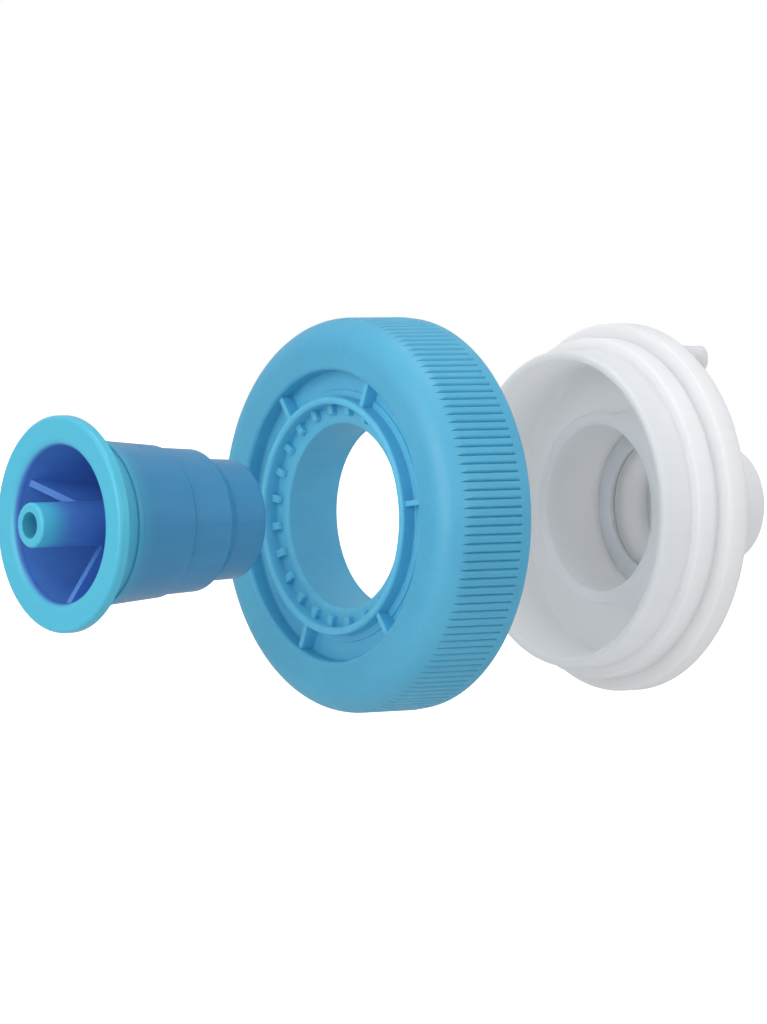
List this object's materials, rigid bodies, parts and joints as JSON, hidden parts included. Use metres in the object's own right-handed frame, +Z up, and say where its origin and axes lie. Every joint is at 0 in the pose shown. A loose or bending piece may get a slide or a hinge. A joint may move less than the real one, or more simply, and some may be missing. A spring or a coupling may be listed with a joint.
{
  "type": "liquor pour spout",
  "caption": "Liquor pour spout pulled apart on its axis: flanged vented nozzle, ribbed grip collar and a white gland whose spigot plugs into a bottle.",
  "frame": {"origin": "centre of the bottle's mouth plane, where the mouth gasket bears on the bottle", "axes": "+Y along the spout's axis into the bottle, -Y the way the nozzle pours, +Z up, +X to the right seen from the nozzle's mouth"},
  "size_m": [0.066, 0.1473, 0.066],
  "materials": {
    "nozzle_blue": "satin gloss injection-moulded polypropylene, bright blue",
    "collar_blue": "satin injection-moulded polypropylene, bright blue",
    "gland_white": "milky natural polypropylene, satin gloss",
    "cage_white": "natural polyethylene",
    "liner": "expanded polyethylene liner, matt",
    "seal": "translucent food-grade silicone",
    "ball_steel": "polished stainless steel"
  },
  "bodies": {
    "gland": {"gland": "gland_white", "seat_washer": "seal", "mouth_gasket": "seal"},
    "liner": {"collar_liner": "liner"},
    "collar": {"collar": "collar_blue"},
    "nozzle": {"nozzle": "nozzle_blue", "ball_cage": "cage_white"},
    "vent_ball": {"vent_ball": "ball_steel"}
  },
  "joints": [
    {"name": "collar_slide", "type": "slide", "parent": "gland", "child": "liner", "axis": [0, 1, 0], "range_m": [0, 0.04265]},
    {"name": "collar_turn", "type": "hinge", "parent": "liner", "child": "collar", "pos_m": [0, -0.0799, 0], "axis": [0, 1, 0], "continuous": true},
    {"name": "nozzle_slide", "type": "slide", "parent": "liner", "child": "nozzle", "axis": [0, 1, 0], "range_m": [0, 0.0539]},
    {"name": "ball_lift", "type": "slide", "parent": "nozzle", "child": "vent_ball", "axis": [0, 1, 0], "range_m": [0, 0.0015]}
  ]
}
